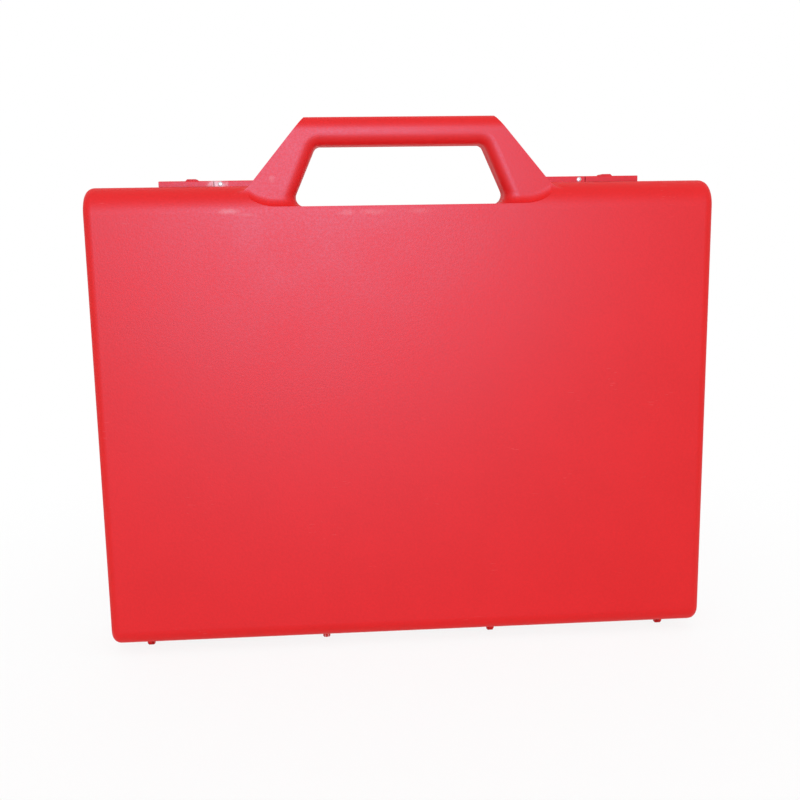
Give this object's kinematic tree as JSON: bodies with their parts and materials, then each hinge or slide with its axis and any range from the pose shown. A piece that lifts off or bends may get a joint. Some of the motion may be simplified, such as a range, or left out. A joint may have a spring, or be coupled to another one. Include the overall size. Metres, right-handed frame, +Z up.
{
  "type": "art supply box",
  "caption": "Flat upright carry case for art supplies: two rounded plastic shells hinged along the bottom, moulded handle with a hand opening, sliding latches on top.",
  "frame": {"origin": "middle of the footprint, on the plane that the case stands on", "axes": "+X to the right seen from the lid, +Y from the lid to the back, +Z up towards the handle"},
  "size_m": [0.37, 0.052, 0.3223],
  "materials": {
    "shell_plastic": "matte moulded polypropylene, red, fine grain",
    "latch_plastic": "matte moulded polypropylene, red, smooth",
    "bolt_plastic": "matte moulded polypropylene, red, unseen inside",
    "pin_steel": "bright plated steel"
  },
  "bodies": {
    "base": {"base_shell": "shell_plastic", "hinge_pin_left_outer": "pin_steel", "hinge_pin_left_inner": "pin_steel", "hinge_pin_right_inner": "pin_steel", "hinge_pin_right_outer": "pin_steel", "latch_pin_left": "pin_steel", "latch_pin_right": "pin_steel"},
    "lid": {"lid_shell": "shell_plastic", "latch_keeper_left": "pin_steel", "latch_keeper_right": "pin_steel"},
    "latch_left": {"latch_slide_left": "latch_plastic", "latch_bolt_left": "bolt_plastic"},
    "latch_right": {"latch_slide_right": "latch_plastic", "latch_bolt_right": "bolt_plastic"}
  },
  "joints": [
    {"name": "lid_hinge", "type": "hinge", "parent": "base", "child": "lid", "pos_m": [0, -0.008, 0.0029], "axis": [1, 0, 0], "range_deg": [0, 180]},
    {"name": "latch_left_slide", "type": "slide", "parent": "base", "child": "latch_left", "axis": [-1, 0, 0], "range_m": [0, 0.008]},
    {"name": "latch_right_slide", "type": "slide", "parent": "base", "child": "latch_right", "axis": [1, 0, 0], "range_m": [0, 0.008]}
  ]
}
